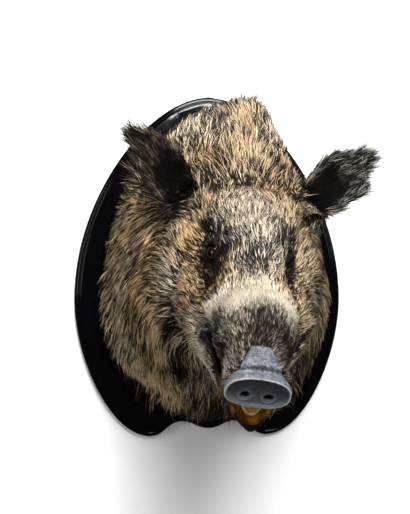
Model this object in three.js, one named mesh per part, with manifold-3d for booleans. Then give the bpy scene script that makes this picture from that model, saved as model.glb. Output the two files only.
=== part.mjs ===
// A mounted wild boar's head and neck on a wall plaque, in millimetres, +Z up.
// The origin is the middle of the plaque's back face, +Y runs into the wall, and the snout
// comes forward along -Y. The solids follow the outside of the coat.

import * as THREE from 'three';
import { mergeVertices } from 'three/addons/utils/BufferGeometryUtils.js';
import Module from 'manifold-3d';

const wasm = await Module();
wasm.setup();

// ---------------------------------------------------------------- driving sizes

const gap = 0.3; // left between two pieces that touch

const plaque = {
  top: 300,
  halfWidth: 235,
  widestAt: -50,
  lobeAt: 105, // how far out the two bottom lobes hang
  lobeBottom: -296,
  archAt: 46,
  archTop: -270,
  middleBottom: -283,
  // The edge moulding from the wall forward: how far in from the outline, how far out.
  moulding: [
    [0, 0], [0, 9], [1.2, 13], [3.6, 15.8], [7, 17],
    [8.6, 16.2], [10, 17.2], [10.6, 20], [12.6, 21],
  ],
};

// The head has its own frame: its origin lies midway between the eyes, the snout points
// along -Y, +X is the side of the animal's left ear and +Z rises from the forehead.
const headPlace = {
  position: new THREE.Vector3(18, -369, 20),
  pitch: THREE.MathUtils.degToRad(39.8), // snout down
  turn: THREE.MathUtils.degToRad(-5.9), // snout toward -X
  tilt: THREE.MathUtils.degToRad(6.5), // animal's left side down
};

// Sections of the neck, each `out` from the wall. `lean` slides the crest sideways, and the
// powers square off (over 2) or sharpen (under 2) a quarter: the animal's upper right, its
// upper left, and below.
const neckStations = [
  { out: 21.3, x: 7, z: -50, half: 192, up: 310, down: 186, lean: 4, right: 2.05, left: 1.9, below: 2.4 },
  { out: 90, x: 8, z: -50, half: 186, up: 326, down: 186, lean: 26, right: 1.9, left: 1.6, below: 2.3 },
  { out: 155, x: 8, z: -46, half: 174, up: 320, down: 174, lean: 52, right: 1.8, left: 1.35, below: 2.2 },
  { out: 215, x: 10, z: -38, half: 160, up: 270, down: 150, lean: 42, right: 1.75, left: 1.45, below: 2.1 },
  { out: 275, x: 13, z: -28, half: 138, up: 188, down: 118, lean: 22, right: 1.8, left: 1.7, below: 2.0 },
  { out: 325, x: 16, z: -20, half: 104, up: 110, down: 86, lean: 8, right: 2.0, left: 2.0, below: 2.0 },
];

// Sections of the head and upper muzzle, each `ahead` of the eyes.
const headStations = [
  { ahead: -170, x: 0, up: 22, down: 140, topHalf: 84, lowHalf: 114 },
  { ahead: -120, x: 0, up: 41, down: 168, topHalf: 90, lowHalf: 132 },
  { ahead: -60, x: 2, up: 52, down: 174, topHalf: 72, lowHalf: 138 },
  { ahead: 0, x: 3, up: 50, down: 158, topHalf: 54, lowHalf: 129 },
  { ahead: 50, x: 3, up: 44, down: 124, topHalf: 50, lowHalf: 108 },
  { ahead: 85, x: 4, up: 40, down: 74, topHalf: 48, lowHalf: 84 },
  { ahead: 112, x: 5, up: 37, down: 46, topHalf: 48, lowHalf: 67 },
  { ahead: 150, x: 6, up: 33, down: 44, topHalf: 47, lowHalf: 58 },
  { ahead: 195, x: 4, up: 27, down: 42, topHalf: 41, lowHalf: 49 },
  { ahead: 240, x: 3, up: 22, down: 37, topHalf: 37, lowHalf: 43 },
];

// Sections of the lower jaw, hanging open. `top` is the level of the lip.
const jawSide = 8; // the jaw hangs this far toward the animal's left
const jawStations = [
  { ahead: -40, top: -70, bottom: -166, topHalf: 100, lowHalf: 96 },
  { ahead: 30, top: -38, bottom: -150, topHalf: 111, lowHalf: 98 },
  { ahead: 82, top: -28, bottom: -136, topHalf: 92, lowHalf: 80 },
  { ahead: 118, top: -56, bottom: -128, topHalf: 69, lowHalf: 58 },
  { ahead: 150, top: -64, bottom: -124, topHalf: 56, lowHalf: 44 },
  { ahead: 186, top: -74, bottom: -120, topHalf: 46, lowHalf: 34 },
  { ahead: 212, top: -82, bottom: -114, topHalf: 28, lowHalf: 21 },
  { ahead: 230, top: -88, bottom: -107, topHalf: 11, lowHalf: 8 },
  { ahead: 237, top: -91, bottom: -101, topHalf: 3, lowHalf: 3 },
];

const trough = { from: 100, to: 229, lip: 5, depth: 10, above: 24 };
const tongue = { from: 120, to: 219, half: 21, tipHalf: 13, tipLength: 16, thick: 8 };
const muzzleCut = 126; // ahead of the eyes
const discCut = 236;
const headCut = { ahead: -134, up: 20, slope: THREE.MathUtils.degToRad(20) };
const jawCut = { fromAhead: 120, fromUp: -51, toAhead: 22, toUp: -205 };

const disc = { x: 3.5, z: -8, half: 42.5, up: 28, down: 24, power: 2.4, front: 256, dish: 2.5 };
const discRoll = THREE.MathUtils.degToRad(5); // its end at the animal's left hangs lower
const nostril = { aside: 15, z: -15, radius: 6.7, depth: 17 };
const eye = { x: 2, ahead: -6, aside: 48, z: -6, radius: 13 };

// Rises and hollows of the face on both sides: `at` is aside, ahead and up.
const faceSwellings = [
  { at: [50, -10, 24], reach: 22, rise: 5 }, // brow
  { at: [60, 2, -6], reach: 19, rise: -10 }, // eye socket
  { at: [52, 42, -6], reach: 28, rise: -4 }, // below the inner corner of the eye
  { at: [88, -20, -40], reach: 40, rise: 7 }, // cheekbone
  { at: [52, 152, -28], reach: 26, rise: 5 }, // upper lip over the tusk
];

// Each ear runs from its root to its tip, and its hollow turns toward `facing`.
const ears = {
  ear_left: { root: [98, 124, 14], tip: [176, 193, 58], facing: [0.1, -0.8, 0.6] },
  ear_right: { root: [-94, 120, 4], tip: [-172, 184, 62], facing: [-0.3, -0.8, 0.5] },
};
const ear = { half: 42, thick: 9, cup: 20, sunk: 16 };

// ---------------------------------------------------------------- materials

const coatMaterial = (color) => new THREE.MeshStandardMaterial({ color, roughness: 0.85, metalness: 0 });
const materials = {
  lacquer: new THREE.MeshStandardMaterial({ color: 0x0b0b0c, roughness: 0.18, metalness: 0 }),
  coat: coatMaterial(0x6d5a3f),
  muzzleCoat: coatMaterial(0x4b3f33),
  earCoat: coatMaterial(0x1d1613),
  nose: new THREE.MeshStandardMaterial({ color: 0x474a50, roughness: 0.5, metalness: 0 }),
  tongue: new THREE.MeshStandardMaterial({ color: 0x9a5a1c, roughness: 0.25, metalness: 0 }),
  eye: new THREE.MeshStandardMaterial({ color: 0x0a0705, roughness: 0.05, metalness: 0 }),
};

// ---------------------------------------------------------------- helpers

// A solid ready to be joined or cut, from a closed three.js geometry.
function solidFrom(geometry) {
  const bare = geometry.index ? geometry.toNonIndexed() : geometry.clone();
  bare.deleteAttribute('normal');
  bare.deleteAttribute('uv');
  const merged = mergeVertices(bare, 1e-4);
  const mesh = new wasm.Mesh({
    numProp: 3,
    vertProperties: new Float32Array(merged.attributes.position.array),
    triVerts: new Uint32Array(merged.index.array),
  });
  return new wasm.Manifold(mesh);
}

// A three.js geometry from a joined or cut solid.
function geometryFrom(solid) {
  const { vertProperties, triVerts } = solid.getMesh();
  const geometry = new THREE.BufferGeometry();
  geometry.setAttribute('position', new THREE.BufferAttribute(new Float32Array(vertProperties), 3));
  geometry.setIndex(new THREE.BufferAttribute(new Uint32Array(triVerts), 1));
  geometry.computeVertexNormals();
  return geometry;
}

// Smooth values between stations, read as read(at).name.
function smoothProfile(stations, along) {
  const names = Object.keys(stations[0]).filter((name) => name !== along);
  const at = stations.map((station) => station[along]);
  const values = stations.flatMap((station) => names.map((name) => station[name]));
  const curve = new THREE.CubicInterpolant(at, values, names.length, new Float32Array(names.length));
  return (where) => {
    const found = curve.evaluate(where);
    return Object.fromEntries(names.map((name, i) => [name, found[i]]));
  };
}

// A closed loft along -Y: a ring of `around` points at each distance in `places`. Its
// pointAt(place, angle, spread) gives x and z, and spread is 0 on the axis and 1 outside.
function loft(places, around, pointAt) {
  const first = places[0];
  const last = places[places.length - 1];
  const outline = [
    new THREE.Vector2(0, first),
    ...places.map((place) => new THREE.Vector2(1, place)),
    new THREE.Vector2(0, last),
  ];
  return shapedLathe(outline, around, pointAt);
}

function shapedLathe(outline, around, pointAt) {
  const geometry = new THREE.LatheGeometry(outline, around);
  const positions = geometry.attributes.position;
  const point = new THREE.Vector3();
  for (let i = 0; i < positions.count; i += 1) {
    point.fromBufferAttribute(positions, i);
    const spread = Math.hypot(point.x, point.z);
    const { x, y = -point.y, z } = pointAt(point.y, Math.atan2(-point.x, point.z), spread);
    positions.setXYZ(i, x, y, z);
  }
  return geometry;
}

function evenPlaces(from, to, count) {
  return Array.from({ length: count + 1 }, (_, i) => THREE.MathUtils.lerp(from, to, i / count));
}

// cos or sin drawn out to a squarer (power over 2) or more pointed (under 2) section.
function squared(value, power) {
  return Math.sign(value) * Math.abs(value) ** (2 / power);
}

const headFrame = new THREE.Group();
headFrame.position.copy(headPlace.position);
headFrame.rotation.set(headPlace.pitch, headPlace.tilt, headPlace.turn, 'ZXY');
headFrame.updateMatrixWorld(true);

function solidInHead(geometry) {
  return solidFrom(geometry.clone().applyMatrix4(headFrame.matrixWorld));
}

// A thin sheet across the head frame: its middle, its direction of thickness (in the plane
// of the profile, `slope` above straight ahead), and its two extents.
function headSheet(ahead, up, slope, width, height) {
  const sheet = new THREE.BoxGeometry(width, gap, height);
  sheet.rotateX(-slope);
  sheet.translate(0, -ahead, up);
  return solidInHead(sheet);
}

// ---------------------------------------------------------------- plaque

// Half the outline is drawn by curves and the other half is its mirror image.
function plaqueOutline(inset) {
  const { halfWidth, widestAt, lobeAt, archAt } = plaque;
  const top = plaque.top - inset;
  const side = halfWidth - inset;
  const lobeBottom = plaque.lobeBottom + inset;
  const archTop = plaque.archTop + inset;
  const middle = plaque.middleBottom + inset;
  const half = new THREE.Path();
  half.moveTo(0, top);
  half.bezierCurveTo(side * 0.425, top, side, 125, side, widestAt);
  half.bezierCurveTo(side, widestAt - 115, lobeAt + 62, lobeBottom, lobeAt, lobeBottom);
  half.bezierCurveTo(lobeAt - 30, lobeBottom, archAt + 28, archTop, archAt, archTop);
  half.bezierCurveTo(archAt - 18, archTop, 20, middle, 0, middle);
  const right = half.getPoints(9);
  const left = right.slice(1, -1).reverse().map((point) => new THREE.Vector2(-point.x, point.y));
  return [...right, ...left];
}

// Rings of the outline, each further in and further out along the moulding.
function buildPlaque() {
  const rings = plaque.moulding.map(([inset]) => plaqueOutline(inset));
  const around = rings[0].length;
  const last = rings.length - 1;
  const steps = rings.map((_, step) => new THREE.Vector2(1, step));
  const outline = [new THREE.Vector2(0, 0), ...steps, new THREE.Vector2(0, last)];
  const pointAt = (step, angle, spread) => {
    const turn = (angle / (2 * Math.PI) + 1) * around;
    const point = rings[step][Math.round(turn) % around];
    return { x: point.x * spread, y: -plaque.moulding[step][1], z: point.y * spread };
  };
  return solidFrom(shapedLathe(outline, around, pointAt));
}

// ---------------------------------------------------------------- neck, head and jaw

function neckLoft() {
  const read = smoothProfile(neckStations, 'out');
  const first = neckStations[0].out;
  const last = neckStations[neckStations.length - 1].out;
  const pointAt = (out, angle, spread) => {
    const at = read(out);
    const rise = Math.cos(angle);
    const upper = Math.sin(angle) > 0 ? at.left : at.right;
    const power = rise > 0 ? upper : at.below;
    const height = squared(rise, power) * spread;
    const lean = height > 0 ? at.lean * height * height : 0;
    const x = at.x + lean + at.half * squared(Math.sin(angle), power) * spread;
    const z = at.z + height * (height > 0 ? at.up : at.down);
    return { x, z };
  };
  return solidFrom(loft(evenPlaces(first, last, 12), 40, pointAt));
}

// A head section is narrow over the brow and widens below the eyes into the jowls.
function pearPoint(at, angle, spread, power) {
  const height = squared(Math.cos(angle), power) * spread;
  const z = height * (height > 0 ? at.up : at.down);
  const depth = (at.up - z) / (at.up + at.down);
  const half = THREE.MathUtils.lerp(at.topHalf, at.lowHalf, THREE.MathUtils.smoothstep(depth, 0.15, 0.75));
  return { x: half * squared(Math.sin(angle), power) * spread, z };
}

function faceSwell(aside, ahead, up) {
  const here = new THREE.Vector3(aside, ahead, up);
  return faceSwellings.reduce((sum, { at, reach, rise }) => {
    const away = here.distanceTo(new THREE.Vector3(...at)) / reach;
    return sum + rise * Math.exp(-away * away);
  }, 0);
}

function headLoft() {
  const read = smoothProfile(headStations, 'ahead');
  const first = headStations[0].ahead;
  const last = headStations[headStations.length - 1].ahead;
  const pointAt = (ahead, angle, spread) => {
    const { x, z } = pearPoint(read(ahead), angle, spread, 2.15);
    const swell = spread * faceSwell(Math.abs(x), ahead, z);
    return { x: read(ahead).x + x + swell * Math.sin(angle), z: z + swell * Math.cos(angle) };
  };
  return solidInHead(loft(evenPlaces(first, last, 24), 38, pointAt));
}

function jawLoft() {
  const read = smoothProfile(jawStations, 'ahead');
  const first = jawStations[0].ahead;
  const last = jawStations[jawStations.length - 1].ahead;
  const pointAt = (ahead, angle, spread) => {
    const at = read(ahead);
    const middle = (at.top + at.bottom) / 2;
    const reach = (at.top - at.bottom) / 2;
    const height = squared(Math.cos(angle), 3) * spread;
    const half = THREE.MathUtils.lerp(at.lowHalf, at.topHalf, (height + 1) / 2);
    const x = jawSide + half * squared(Math.sin(angle), 2.4) * spread;
    return { x, z: middle + height * reach };
  };
  return solidInHead(loft(evenPlaces(first, last, 18), 26, pointAt));
}

// The hollow of the lower jaw, inside the lip.
function troughLoft() {
  const read = smoothProfile(jawStations, 'ahead');
  const pointAt = (ahead, angle, spread) => {
    const at = read(ahead);
    const half = Math.max(at.topHalf - trough.lip, 1);
    const floor = at.top - trough.depth;
    const rise = Math.cos(angle);
    const reach = rise < 0 ? at.top - floor : trough.above;
    return { x: jawSide + half * Math.sin(angle) * spread, z: at.top + rise * reach * spread };
  };
  return solidInHead(loft(evenPlaces(trough.from, trough.to, 9), 14, pointAt));
}

function tongueLoft() {
  const read = smoothProfile(jawStations, 'ahead');
  const pointAt = (ahead, angle, spread) => {
    const at = read(ahead);
    const toTip = (tongue.to - ahead) / tongue.tipLength;
    const rounding = toTip < 1 ? Math.sqrt(Math.max(1 - (1 - toTip) ** 2, 0.004)) : 1;
    const back = THREE.MathUtils.inverseLerp(tongue.to, tongue.from, ahead);
    const half = THREE.MathUtils.lerp(tongue.tipHalf, tongue.half, back) * rounding;
    const middle = at.top - trough.depth + tongue.thick / 2 + 1.5;
    const x = jawSide + half * Math.sin(angle) * spread;
    const z = middle + (tongue.thick / 2) * rounding * Math.cos(angle) * spread;
    return { x, z };
  };
  const places = [
    ...evenPlaces(tongue.from, tongue.to - tongue.tipLength, 4),
    tongue.to - 9,
    tongue.to - 4,
    tongue.to - 1,
    tongue.to,
  ];
  return loft(places, 14, pointAt);
}

// ---------------------------------------------------------------- snout disc

// Something drawn round the disc's middle, rolled and set in the head frame.
function rolledInHead(geometry) {
  geometry.rotateY(discRoll);
  geometry.translate(disc.x, 0, disc.z);
  return solidInHead(geometry);
}

function buildDisc() {
  const outline = [
    new THREE.Vector2(0, discCut + gap),
    new THREE.Vector2(0.86, discCut + gap),
    new THREE.Vector2(0.9, discCut + 6),
    new THREE.Vector2(1, disc.front - 7),
    new THREE.Vector2(0.99, disc.front - 2),
    new THREE.Vector2(0.93, disc.front),
    new THREE.Vector2(0.82, disc.front - disc.dish),
    new THREE.Vector2(0, disc.front - disc.dish),
  ];
  const pointAt = (ahead, angle, spread) => {
    const height = squared(Math.cos(angle), disc.power);
    const x = disc.half * squared(Math.sin(angle), disc.power) * spread;
    const z = height * (height > 0 ? disc.up : disc.down) * spread;
    return { x, z };
  };
  let solid = rolledInHead(shapedLathe(outline, 36, pointAt));
  for (const side of [-1, 1]) {
    const hole = new THREE.CylinderGeometry(nostril.radius, nostril.radius * 0.8, nostril.depth * 2, 12);
    hole.translate(side * nostril.aside, -disc.front, nostril.z - disc.z);
    solid = solid.subtract(rolledInHead(hole));
  }
  return solid;
}

// ---------------------------------------------------------------- ears and eyes

// A cupped leaf along -Y from root to tip, with its hollow facing +Z. `grow` thickens it all
// round, to cut the socket that it stands in.
function earLeaf(length, grow) {
  const pointAt = (along, angle, spread) => {
    const part = THREE.MathUtils.clamp(along / length, 0, 1);
    const leaf = 0.74 + 0.26 * Math.sin(Math.PI * Math.min(part + 0.1, 1));
    const taper = Math.sqrt(Math.max(1 - part ** 4.2, 0.003));
    const half = ear.half * leaf * taper + grow;
    const thick = (ear.thick / 2) * (1 - part * 0.6) + grow;
    const cup = ear.cup * (0.7 + 0.6 * part - 0.8 * part ** 2);
    const bend = cup * (leaf * taper * Math.sin(angle) * spread) ** 2;
    return { x: half * Math.sin(angle) * spread, z: bend + thick * Math.cos(angle) * spread };
  };
  const along = evenPlaces(0, length * 0.88, 6);
  return loft([-ear.sunk - grow, ...along, length * 0.96, length + grow], 14, pointAt);
}

function placedEar(name, grow) {
  const [root, tip] = [ears[name].root, ears[name].tip].map((at) => new THREE.Vector3(...at));
  const back = root.clone().sub(tip);
  const geometry = earLeaf(back.length(), grow);
  const facing = new THREE.Vector3(...ears[name].facing);
  const across = new THREE.Vector3().crossVectors(back, facing).normalize();
  const up = new THREE.Vector3().crossVectors(across, back).normalize();
  const turn = new THREE.Matrix4().makeBasis(across, back.normalize(), up).setPosition(root);
  return solidInHead(geometry.applyMatrix4(turn));
}

function eyeBall(side, grow) {
  const ball = new THREE.SphereGeometry(eye.radius + grow, 16, 10);
  ball.translate(eye.x + side * eye.aside, -eye.ahead, eye.z);
  return solidInHead(ball);
}

// ---------------------------------------------------------------- assembly

// Joins the lofts, cuts the sockets and the hollow of the jaw, and parts the flesh by sheets.
function partedFlesh() {
  const hollows = [troughLoft(), ...Object.keys(ears).map((name) => placedEar(name, gap))];
  for (const side of [-1, 1]) hollows.push(eyeBall(side, gap));
  const { fromAhead, fromUp, toAhead, toUp } = jawCut;
  const jawLean = -Math.atan2(fromAhead - toAhead, fromUp - toUp);
  const jawReach = Math.hypot(fromAhead - toAhead, fromUp - toUp);
  const sheets = [
    headSheet(headCut.ahead, headCut.up, headCut.slope, 700, 900),
    headSheet((fromAhead + toAhead) / 2, (fromUp + toUp) / 2, jawLean, 400, jawReach),
    headSheet(muzzleCut, 0, 0, 300, 110),
    headSheet(discCut, 0, 0, 300, 120),
  ];
  const whole = neckLoft().add(headLoft()).add(jawLoft());
  return [...hollows, ...sheets].reduce((solid, cut) => solid.subtract(cut), whole).decompose();
}

// The piece of a parted solid that holds a point of the head frame.
function pieceAt(pieces, x, ahead, up) {
  const point = new THREE.Vector3(x, -ahead, up).applyMatrix4(headFrame.matrixWorld);
  const probe = solidFrom(new THREE.BoxGeometry(2, 2, 2)).translate(point.toArray());
  return pieces.find((piece) => piece.intersect(probe).volume() > 1);
}

const group = new THREE.Group();

function addMesh(name, solid, material) {
  const mesh = new THREE.Mesh(geometryFrom(solid), material.clone());
  mesh.name = name;
  group.add(mesh);
}

const flesh = partedFlesh();
addMesh('plaque', buildPlaque(), materials.lacquer);
addMesh('neck', pieceAt(flesh, 0, -200, 0), materials.coat);
addMesh('head', pieceAt(flesh, 0, 20, 0), materials.coat);
addMesh('muzzle', pieceAt(flesh, 0, 180, 0), materials.muzzleCoat);
addMesh('lower_jaw', pieceAt(flesh, jawSide, 150, -110), materials.muzzleCoat);
addMesh('snout_disc', buildDisc(), materials.nose);
addMesh('tongue', solidInHead(tongueLoft()), materials.tongue);
for (const name of Object.keys(ears)) addMesh(name, placedEar(name, 0), materials.earCoat);
addMesh('eye_left', eyeBall(1, 0), materials.eye);
addMesh('eye_right', eyeBall(-1, 0), materials.eye);

export default group;
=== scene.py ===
import math

import bmesh
import bpy
import numpy as np
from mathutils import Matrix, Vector
from mathutils.kdtree import KDTree


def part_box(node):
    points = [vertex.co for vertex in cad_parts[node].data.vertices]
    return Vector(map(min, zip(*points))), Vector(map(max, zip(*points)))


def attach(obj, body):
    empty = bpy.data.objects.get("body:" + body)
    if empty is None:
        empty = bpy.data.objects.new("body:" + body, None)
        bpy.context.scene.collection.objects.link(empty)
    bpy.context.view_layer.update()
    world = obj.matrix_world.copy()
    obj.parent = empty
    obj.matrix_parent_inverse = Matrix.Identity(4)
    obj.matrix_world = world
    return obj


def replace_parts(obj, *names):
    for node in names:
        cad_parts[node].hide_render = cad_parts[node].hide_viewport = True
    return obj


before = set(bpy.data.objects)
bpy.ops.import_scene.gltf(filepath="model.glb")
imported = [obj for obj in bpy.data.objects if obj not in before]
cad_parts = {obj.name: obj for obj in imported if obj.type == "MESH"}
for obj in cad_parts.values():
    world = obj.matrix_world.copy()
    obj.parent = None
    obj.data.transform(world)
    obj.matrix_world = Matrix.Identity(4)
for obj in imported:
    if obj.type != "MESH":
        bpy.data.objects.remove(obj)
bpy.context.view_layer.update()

print("frame loaded")


def unit(vectors):
    return vectors / np.maximum(np.linalg.norm(vectors, axis=-1, keepdims=True), 1e-9)


def ease(low, high, value):  # 0 before low, 1 after high, smooth between; low may be the larger
    part = np.clip((value - low) / (high - low), 0, 1)
    return part * part * (3 - 2 * part)


def toward(start, end, share):
    return start + (end - start) * share


def bell(value, middle, width):  # 1 at the middle, falling away on both sides
    return np.exp(-(((value - middle) / width) ** 2))


def norms(vectors):
    return np.linalg.norm(vectors, axis=1)


def ripple(points, size, seed):  # smooth noise of about -1 to 1 with bumps of about `size`
    dice = np.random.default_rng(seed)
    total = np.zeros(len(points))
    for _ in range(7):
        wave = dice.normal(size=3)
        wave *= 2 * math.pi / (size * dice.uniform(1.4, 3.2)) / np.linalg.norm(wave)
        total += np.sin(points @ wave + dice.uniform(0, 2 * math.pi))
    return total / 3.2


middles = {node: np.array(sum(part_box(node), Vector()) / 2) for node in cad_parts}
eyeNodes = ("eye_left", "eye_right")

# The head's own axes: its middle lies between the eyes, sideways is toward the animal's left
# eye (+X in the room), ahead toward the snout, upward out of the forehead.
headMiddle = (middles["eye_left"] + middles["eye_right"]) / 2
sideways = unit(middles["eye_left"] - middles["eye_right"])
ahead = middles["snout_disc"] - headMiddle
noseReach = float(np.linalg.norm(ahead))
ahead = unit(ahead - ahead @ sideways * sideways)
upward = np.cross(sideways, -ahead)
headAxes = np.array([sideways, ahead, upward])
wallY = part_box("neck")[1].y  # where the neck ends, on the plaque's front face


def inHead(points):  # room metres to head millimetres: sideways, ahead, upward
    return (points - headMiddle) @ headAxes.T * 1000


def inRoom(places):
    return np.asarray(places, float) / 1000 @ headAxes + headMiddle


def read(items, what, width=3, kind=float):
    flat = np.empty(len(items) * width, kind)
    items.foreach_get(what, flat)
    return flat.reshape(-1, width)


def pointsOf(mesh):
    return read(mesh.vertices, "co")


def normalsOf(mesh):
    return read(mesh.vertices, "normal")


def movePoints(mesh, points):
    mesh.vertices.foreach_set("co", points.astype(np.float32).ravel())
    mesh.update()


def addObject(name, mesh):
    piece = bpy.data.objects.new(name, mesh)
    bpy.context.scene.collection.objects.link(piece)
    return piece


def meshFrom(name, shape):  # uses the bmesh up
    mesh = bpy.data.meshes.new(name)
    shape.to_mesh(mesh)
    shape.free()
    return mesh


def addPiece(name, mesh, material):
    piece = addObject(name, mesh)
    mesh.materials.clear()
    mesh.materials.append(material)
    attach(piece, "root")
    return piece


def applied(piece):  # the piece's mesh with its modifiers made real
    graph = bpy.context.evaluated_depsgraph_get()
    mesh = bpy.data.meshes.new_from_object(piece.evaluated_get(graph))
    piece.modifiers.clear()
    piece.data = mesh
    return mesh


def solidOf(*nodes, grow=0.0):  # CAD nodes in one bmesh, each with its corners merged
    shape = bmesh.new()
    for node in nodes:
        part = bmesh.new()
        part.from_mesh(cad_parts[node].data)
        bmesh.ops.remove_doubles(part, verts=part.verts, dist=1e-5)
        part.normal_update()
        for point in part.verts:
            point.co += point.normal * grow
        loose = meshFrom("loose", part)
        shape.from_mesh(loose)
        bpy.data.meshes.remove(loose)
    return shape


def remeshed(shape, voxel, smoothing):  # one closed skin round everything in a bmesh
    rough = addObject("rough", meshFrom("rough", shape))
    net = rough.modifiers.new("Net", "REMESH")
    net.mode = "VOXEL"
    net.voxel_size = voxel
    calm = rough.modifiers.new("Calm", "SMOOTH")
    calm.factor = 0.5
    calm.iterations = smoothing
    mesh = applied(rough)
    bpy.data.objects.remove(rough)
    return mesh


def soften(shape, points, times=1):
    axes = {"use_axis_x": True, "use_axis_y": True, "use_axis_z": True}
    for _ in range(times):
        bmesh.ops.smooth_vert(shape, verts=points, factor=0.5, **axes)


def setAttributes(mesh, shares):
    for name, values in shares.items():
        layer = mesh.attributes.new(name, "FLOAT", "POINT")
        layer.data.foreach_set("value", np.asarray(values, np.float32))


# Shader helpers.
def newMaterial(name):
    material = bpy.data.materials.new(name)
    material.use_nodes = True
    return material, material.node_tree, material.node_tree.nodes["Principled BSDF"]


def feed(tree, node, inputs):  # links each input to a socket, or sets its value
    for name, value in inputs.items():
        if isinstance(value, bpy.types.NodeSocket):
            tree.links.new(value, node.inputs[name])
        else:
            node.inputs[name].default_value = value


def addNode(tree, kind, inputs=None, **settings):
    node = tree.nodes.new("ShaderNode" + kind)
    for key, value in settings.items():
        setattr(node, key, value)
    feed(tree, node, inputs or {})
    return node


def mixed(tree, share, first, second):
    return addNode(tree, "Mix", {0: share, 6: first, 7: second}, data_type="RGBA").outputs[2]


def ramp(tree, value, low, high, start=0.0, end=1.0):
    inputs = {"Value": value, "From Min": low, "From Max": high, "To Min": start, "To Max": end}
    return addNode(tree, "MapRange", inputs, interpolation_type="SMOOTHSTEP").outputs[0]


def math2(tree, operation, first, second):
    return addNode(tree, "Math", {0: first, 1: second}, operation=operation).outputs[0]


def times(tree, first, second):
    return math2(tree, "MULTIPLY", first, second)


def attribute(tree, name):
    return addNode(tree, "Attribute", attribute_name=name).outputs["Fac"]


def placeOn(tree):
    return addNode(tree, "TexCoord").outputs["Object"]


def noise(tree, scale, detail=2.0, roughness=0.5):
    inputs = {"Vector": placeOn(tree), "Scale": scale, "Detail": detail, "Roughness": roughness}
    return addNode(tree, "TexNoise", inputs).outputs["Fac"]


def bump(tree, height, distance, strength=1.0):
    return addNode(tree, "Bump", {"Height": height, "Distance": distance, "Strength": strength}).outputs[0]


def paint(tree, shader, shade, rough, relief=None, specular=0.5):
    feed(tree, shader, {"Base Color": shade, "Roughness": rough, "Specular IOR Level": specular})
    if relief is not None:
        feed(tree, shader, {"Normal": relief})


def linear(value):  # a screen value as the shaders want it
    return value / 12.92 if value <= 0.04045 else ((value + 0.055) / 1.055) ** 2.4


def colour(red, green, blue):
    return (linear(red), linear(green), linear(blue), 1.0)


view = {
    "stands": (-0.1932, -1.7901, 0.018),
    "turned": -6.0,  # degrees from looking straight at the wall
    "lens": 71.4,
    "wall": (1.0, 1.0, 1.0),
    "floor": (0.52, 0.52, 0.52),
    "floorDrop": 1.6,
    "wallBehind": 0.0006,  # metres behind the plaque's back
    "sky": 0.05,
    "skyColour": (0.95, 0.97, 1.0, 1),
    "lampsAim": (0, -0.25, 0),
}


def makeCamera():
    lens = bpy.data.cameras.new("Camera")
    lens.lens = view["lens"]
    lens.clip_start = 0.01
    lens.clip_end = 50
    holder = bpy.data.objects.new("Camera", lens)
    holder.location = view["stands"]
    holder.rotation_euler = (math.radians(90), 0, math.radians(view["turned"]))
    bpy.context.scene.collection.objects.link(holder)
    bpy.context.scene.camera = holder


def roomPaint(name, tint):
    material, tree, shader = newMaterial(name)
    paint(tree, shader, (*tint, 1), 0.9, specular=0.0)
    seeThrough = addNode(tree, "BsdfTransparent").outputs[0]
    backfacing = addNode(tree, "NewGeometry").outputs["Backfacing"]
    oneSided = addNode(tree, "MixShader", {0: backfacing, 1: shader.outputs[0], 2: seeThrough})
    feed(tree, tree.nodes["Material Output"], {"Surface": oneSided.outputs[0]})
    return material


def makeRoom():
    drop = view["floorDrop"]
    for name, turn, place, halfDepth in (
        ("wall", 90, (0, view["wallBehind"], drop), 2 * drop),
        ("floor", 0, (0, -1.4, -drop), 1.4),
    ):
        shape = bmesh.new()
        bmesh.ops.create_grid(shape, x_segments=2, y_segments=2, size=1)
        panel = addObject(name, meshFrom(name, shape))
        panel.rotation_euler = (math.radians(turn), 0, 0)
        panel.location = place
        panel.scale = (4, halfDepth, 1)
        panel.data.materials.append(roomPaint(name + "Paint", view[name]))
        panel.visible_glossy = False  # lacquer and eyes mirror the lamps alone


def makeLights():
    world = bpy.data.worlds.new("Studio")
    world.use_nodes = True
    backdrop = world.node_tree.nodes["Background"]
    feed(world.node_tree, backdrop, {"Color": view["skyColour"], "Strength": view["sky"]})
    bpy.context.scene.world = world
    for name, place, size, power in (
        ("softboxTop", (0.05, -1.3, 1.9), (1.3, 0.9), 66),
        ("softboxFront", (0.25, -2.7, 1.35), (0.9, 0.7), 72),
        ("softboxLeft", (-1.7, -1.5, 0.5), (0.8, 1.2), 9.0),
        ("softboxRight", (1.8, -1.5, 0.8), (0.8, 1.2), 6.0),
    ):
        lamp = bpy.data.lights.new(name, "AREA")
        lamp.shape = "RECTANGLE"
        lamp.size, lamp.size_y = size
        lamp.energy = power
        holder = bpy.data.objects.new(name, lamp)
        holder.location = place
        aim = Vector(view["lampsAim"]) - Vector(place)
        holder.rotation_euler = aim.to_track_quat("-Z", "Y").to_euler()
        bpy.context.scene.collection.objects.link(holder)
    bpy.context.scene.view_settings.view_transform = "Standard"


makeCamera()
makeRoom()
makeLights()
print("camera, room and lights made")


plaque = {
    "colour": colour(0.012, 0.013, 0.017),
    "dustColour": colour(0.2, 0.21, 0.23),
    "roughness": 0.10,
    "specular": 0.3,
    "creaseOver": 20,  # degrees; sharper edges stay crisp,
    "crease": 0.8,
    "longestRim": 0.05,  # unless they are longer than this
    "rounding": 2,
}


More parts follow.
